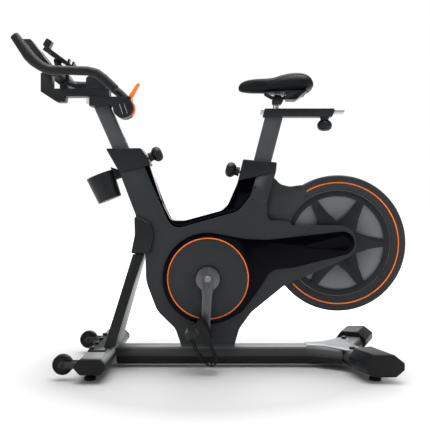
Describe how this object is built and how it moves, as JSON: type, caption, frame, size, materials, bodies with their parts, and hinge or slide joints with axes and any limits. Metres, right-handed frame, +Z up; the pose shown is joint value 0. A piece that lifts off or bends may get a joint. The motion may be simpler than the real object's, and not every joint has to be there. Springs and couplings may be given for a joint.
{
  "type": "exercise bike",
  "caption": "Indoor exercise bike with a belt-driven magnetic flywheel, adjustable seat and handlebar posts, horned handlebar, tablet rest, bottle holder and toe-cage pedals.",
  "frame": {"origin": "centre of the bounding box's footprint, on the floor", "axes": "+X towards the flywheel end, -Y the side with the near pedal down (rider's left), +Z up"},
  "size_m": [1.373, 0.548, 1.1726],
  "materials": {
    "charcoal": "fine moulded texture",
    "dark_plastic": "fine moulded texture",
    "gloss_black": "piano black",
    "dark_steel": "satin powder coat",
    "black_steel": "satin powder coat",
    "satin_steel": "satin",
    "silver_grey": "satin",
    "bare_steel": "machined",
    "bright_aluminium": "brushed",
    "cast_grey": "painted casting",
    "accent_orange": "satin",
    "black_rubber": "soft grip",
    "wheel_tyre": "smooth",
    "black_plastic": "fine moulded texture",
    "saddle_cover": "synthetic leather"
  },
  "bodies": {
    "chassis": {"base_rail": "dark_steel", "rear_stabilizer": "dark_steel", "gusset_plate": "silver_grey", "end_boots": "black_plastic", "front_stabilizer": "dark_steel", "leveling_feet": "black_rubber", "frame_bolts": "black_steel", "front_strut": "black_steel", "strut_cover": "dark_plastic", "main_frame": "dark_steel", "wheel_arms": "dark_steel", "left_shroud": "charcoal", "right_shroud": "charcoal", "window_trim": "gloss_black", "head_collar": "dark_plastic", "seat_collar": "dark_plastic", "side_cover_left": "gloss_black", "side_cover_right": "gloss_black", "crank_covers": "charcoal", "accent_rings": "accent_orange", "wheel_guard_left": "charcoal", "wheel_guard_right": "charcoal", "cover_screws": "black_plastic", "drive_belt": "black_rubber", "bearings": "bare_steel", "bottle_holder": "dark_plastic"},
    "flywheel_unit": {"flywheel": "cast_grey", "spoke_covers": "gloss_black", "flywheel_axle": "bare_steel", "flywheel_pulley": "bright_aluminium"},
    "crank_unit": {"crank_axle": "bare_steel", "crank_arm_left": "satin_steel", "crank_arm_right": "satin_steel", "crank_pulley": "bright_aluminium", "pedal_spindles": "bare_steel"},
    "left_pedal_unit": {"pedal_left": "black_plastic", "toe_cage_left": "black_plastic"},
    "right_pedal_unit": {"pedal_right": "black_plastic", "toe_cage_right": "black_plastic"},
    "handlebar_column": {"handlebar_post": "dark_steel", "head_casting": "dark_plastic"},
    "resistance_lever_unit": {"resistance_lever": "accent_orange"},
    "brake_unit": {"magnet_caliper": "dark_steel"},
    "handlebar_unit": {"handlebar_slider": "bright_aluminium", "stem": "dark_plastic", "handlebar": "black_rubber", "tablet_arm": "dark_plastic"},
    "tablet_unit": {"tablet_rest": "black_plastic"},
    "tablet_clamp_unit": {"tablet_clamp": "black_plastic"},
    "post_pin": {"post_knob": "black_plastic"},
    "seat_pin": {"seat_knob": "black_plastic"},
    "seat_column": {"seat_post": "dark_steel", "seat_rail": "dark_plastic"},
    "saddle_unit": {"seat_slider": "bright_aluminium", "saddle_clamp": "black_steel", "saddle_base": "black_plastic", "saddle": "saddle_cover"},
    "rail_knob_unit": {"rail_knob": "black_plastic"},
    "left_transport_wheel": {"transport_wheel_left": "wheel_tyre"},
    "right_transport_wheel": {"transport_wheel_right": "wheel_tyre"}
  },
  "joints": [
    {"name": "flywheel_spin", "type": "hinge", "parent": "chassis", "child": "flywheel_unit", "pos_m": [0.44451, 0, 0.441], "axis": [0, 1, 0], "continuous": true},
    {"name": "crank_spin", "type": "hinge", "parent": "chassis", "child": "crank_unit", "pos_m": [-0.01749, 0, 0.3175], "axis": [0, 1, 0], "continuous": true},
    {"name": "left_pedal_spin", "type": "hinge", "parent": "crank_unit", "child": "left_pedal_unit", "pos_m": [-0.0252, -0.131, 0.14768], "axis": [0, 1, 0], "continuous": true},
    {"name": "right_pedal_spin", "type": "hinge", "parent": "crank_unit", "child": "right_pedal_unit", "pos_m": [-0.00978, 0.131, 0.48732], "axis": [0, 1, 0], "continuous": true},
    {"name": "handlebar_height", "type": "slide", "parent": "chassis", "child": "handlebar_column", "axis": [-0.4067, 0, 0.9135], "range_m": [-0.105, 0.09]},
    {"name": "handlebar_reach", "type": "slide", "parent": "handlebar_column", "child": "handlebar_unit", "axis": [1, 0, 0], "range_m": [-0.03, 0.045]},
    {"name": "tablet_tilt", "type": "hinge", "parent": "handlebar_unit", "child": "tablet_unit", "pos_m": [-0.56149, 0, 1.092], "axis": [0, 1, 0], "range_deg": [-8, 20]},
    {"name": "tablet_clamp_slide", "type": "slide", "parent": "tablet_unit", "child": "tablet_clamp_unit", "axis": [-0.8067, 0, 0.591], "range_m": [0, 0.015], "stiffness_N_per_m": 400, "springref_m": -0.005},
    {"name": "resistance_lever_turn", "type": "hinge", "parent": "handlebar_column", "child": "resistance_lever_unit", "pos_m": [-0.32049, 0, 0.922], "axis": [0, 1, 0], "range_deg": [-5, 40]},
    {"name": "brake_swing", "type": "hinge", "parent": "chassis", "child": "brake_unit", "pos_m": [0.18451, 0, 0.476], "axis": [0, 1, 0], "range_deg": [-4, 8]},
    {"name": "post_pin_pull", "type": "slide", "parent": "chassis", "child": "post_pin", "axis": [0.9135, 0, 0.4067], "range_m": [0, 0.012], "stiffness_N_per_m": 600, "springref_m": -0.01},
    {"name": "seat_pin_pull", "type": "slide", "parent": "chassis", "child": "seat_pin", "axis": [-0.9681, 0, 0.2504], "range_m": [0, 0.012], "stiffness_N_per_m": 600, "springref_m": -0.01},
    {"name": "seat_height", "type": "slide", "parent": "chassis", "child": "seat_column", "axis": [0.2504, 0, 0.9681], "range_m": [-0.125, 0.1]},
    {"name": "seat_reach", "type": "slide", "parent": "seat_column", "child": "saddle_unit", "axis": [1, 0, 0], "range_m": [-0.02, 0.08]},
    {"name": "rail_knob_turn", "type": "hinge", "parent": "seat_column", "child": "rail_knob_unit", "pos_m": [0.40011, 0, 0.88], "axis": [0, 0, 1], "range_deg": [-180, 180]},
    {"name": "left_transport_spin", "type": "hinge", "parent": "chassis", "child": "left_transport_wheel", "pos_m": [-0.49049, -0.214, 0.052], "axis": [0, 1, 0], "continuous": true},
    {"name": "right_transport_spin", "type": "hinge", "parent": "chassis", "child": "right_transport_wheel", "pos_m": [-0.49049, 0.214, 0.052], "axis": [0, 1, 0], "continuous": true}
  ],
  "couplings": [
    {"joint": "crank_spin", "follows": "flywheel_spin", "ratio": 0.25},
    {"joint": "brake_swing", "follows": "resistance_lever_turn", "ratio": 0.2}
  ]
}
